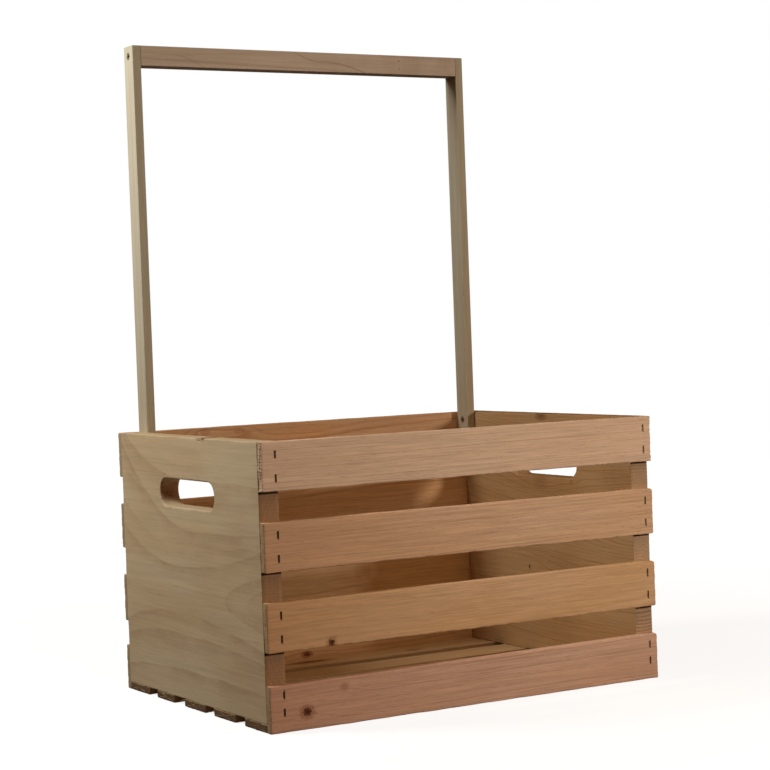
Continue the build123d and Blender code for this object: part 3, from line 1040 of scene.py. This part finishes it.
def metal_material(name, color, roughness):
    """Dulled steel wire or screw: blotched by handling, with specks of rust."""
    material = bpy.data.materials.new(name)
    net = bare(material)
    place = net.vector("SCALE", net.add("ShaderNodeTexCoord").outputs["Object"], scale=1000.0)
    grime = net.noise(place, 0.9, 3.0, 0.6)
    rust = net.ramp(net.noise(place, 2.1, 2.0, 0.6), 0.55, 0.7)
    tone = net.mix(net.ramp(grime, 0.3, 0.7), color, tuple(v * 0.45 for v in color[:3]) + (1,))
    tone = net.mix(net.times(rust, 0.6), tone, (0.10, 0.035, 0.012, 1))
    relief = net.add("ShaderNodeBump", {"Height": grime, "Strength": 0.4, "Distance": 0.0001})
    shader = net.add(
        "ShaderNodeBsdfPrincipled",
        {
            "Base Color": tone,
            "Metallic": net.times_plus(rust, -0.6, 0.9),
            "Roughness": net.ramp(grime, 0.2, 0.8, roughness, roughness + 0.3),
            "Normal": relief.outputs[0],
        },
    )
    net.add("ShaderNodeOutputMaterial", {"Surface": shader.outputs[0]})
    return material


staple_steel = metal_material("staple_steel", (0.11, 0.075, 0.05, 1), 0.5)
screw_steel = metal_material("screw_steel", (0.46, 0.41, 0.34, 1), 0.35)
# a lighter copy of the staple steel for the front right staples: painted light where the front key falls on
# them
lit_staple_steel = metal_material("lit_staple_steel", (0.34, 0.235, 0.15, 1), 0.5)
for node in STAPLES:
    dress(NODES[node], lit_staple_steel if node == "front_right_staples" else staple_steel)
for node in SCREWS:
    dress(NODES[node], screw_steel)


# ------------------------------------------------------------------ floor, light and camera


FLOOR_GLOW = (0.86, 1.0)  # painted shade: the floor's camera-only glow at the crate, and far from it; dimmer at the crate
FLOOR_FADE = (0.25, 1.3)  # how far the two are from the middle of the crate
FLOOR_BOUNCE = (0.12, 0.11, 0.10, 1)
WORLD_GLOW = (0.08, 0.03, 0.012, 1)
FLOOR_LEVEL = -0.0004  # clear of the slats' uneven undersides
FLOOR_REACH = 30.0
FLOOR_TOUCH = 0.002  # light this close to the floor passes it, to reach the crate's underside


def make_stage():
    """A flat pale floor that carries on out of sight and glows for the camera, with a soft shadow under the
    crate: cast by the lamps, and painted as a dimmer glow near it.
    """
    mesh = bpy.data.meshes.new("floor")
    signs = ((-1, -1), (1, -1), (1, 1), (-1, 1))
    corners = [(x * FLOOR_REACH, y * FLOOR_REACH, FLOOR_LEVEL) for x, y in signs]
    mesh.from_pydata(corners, [], [(0, 1, 2, 3)])
    floor = link("floor", mesh)
    material = bpy.data.materials.new("pale_floor")
    net = bare(material)
    shader = net.add(
        "ShaderNodeBsdfPrincipled",
        {
            "Roughness": 0.9,
            "Specular IOR Level": 0.0,
            "Emission Color": (1, 1, 1, 1),
        },
    )
    path = net.add("ShaderNodeLightPath").outputs
    seen = path["Is Camera Ray"]
    away = net.vector("LENGTH", net.add("ShaderNodeTexCoord").outputs["Object"])
    glow = net.ramp(away, *FLOOR_FADE, *FLOOR_GLOW)
    net.feed(shader.inputs["Emission Strength"], net.times(seen, glow))
    net.feed(shader.inputs["Base Color"], net.mix(seen, FLOOR_BOUNCE, (0.3, 0.3, 0.3, 1)))
    below = net.add("ShaderNodeNewGeometry").outputs["Backfacing"]
    touching = net.math("LESS_THAN", path["Ray Length"], FLOOR_TOUCH)
    clear = net.add("ShaderNodeBsdfTransparent")
    both = net.add(
        "ShaderNodeMixShader",
        {0: net.math("MAXIMUM", below, touching), 1: shader.outputs[0], 2: clear.outputs[0]},
    )
    net.add("ShaderNodeOutputMaterial", {"Surface": both.outputs[0]})
    dress(floor, material)


def make_world():
    """White all round to look at, and a dim warm glow from everywhere."""
    world = bpy.data.worlds.new("studio")
    bpy.context.scene.world = world
    net = bare(world)
    seen = net.add("ShaderNodeLightPath").outputs["Is Camera Ray"]
    color = net.mix(seen, WORLD_GLOW, (1, 1, 1, 1))
    shade = net.add("ShaderNodeBackground", {"Color": color, "Strength": 1.0})
    net.add("ShaderNodeOutputWorld", {"Surface": shade.outputs[0]})


def add_light(name, position, target, size, power, color):
    data = bpy.data.lights.new(name, "AREA")
    data.shape = "RECTANGLE"
    data.size, data.size_y = size
    data.energy = power
    data.color = color
    light = link(name, data)
    light.location = position
    light.rotation_euler = (Vector(target) - Vector(position)).to_track_quat("-Z", "Y").to_euler()


# name: position, target, size, power and colour
LIGHTS = {
    "front_key": ((0.70, -1.34, 0.49), (0, 0, 0.19), (0.14, 0.14), 8.2, (1.0, 0.845, 0.66)),
    "left_key": ((-0.75, 0.25, 0.85), (-0.2, 0.05, 0.35), (0.3, 0.3), 7.1, (1.0, 0.93, 0.81)),
    "front_fill": ((0.1, -0.75, 1.0), (0, 0, 0.2), (0.4, 0.4), 1.6, (1.0, 0.80, 0.50)),
}


def make_lights():
    for name, (position, target, size, power, color) in LIGHTS.items():
        add_light(name, position, target, size, power, color)


CAMERA_PLACE = (-0.9844, -1.6810, 0.3388)
CAMERA_RIGHT = (0.86033, -0.50840, -0.03691)
CAMERA_BACK = (-0.50759, -0.86110, 0.02944)
CAMERA_LENS = 96.82  # mm, on a sensor 36 mm wide


def make_camera():
    """A long lens level with the middle of the handle, looking past the left front corner."""
    data = bpy.data.cameras.new("camera")
    data.sensor_width = 36.0
    data.lens = CAMERA_LENS
    camera = link("camera", data)
    right = Vector(CAMERA_RIGHT).normalized()
    back = Vector(CAMERA_BACK).normalized()
    turn = Matrix((right, back.cross(right), back)).transposed()
    camera.matrix_world = Matrix.Translation(CAMERA_PLACE) @ turn.to_4x4()
    data.clip_start, data.clip_end = 0.05, 100
    bpy.context.scene.camera = camera


make_stage()
make_world()
make_lights()
make_camera()
bpy.context.scene.view_settings.view_transform = "Standard"
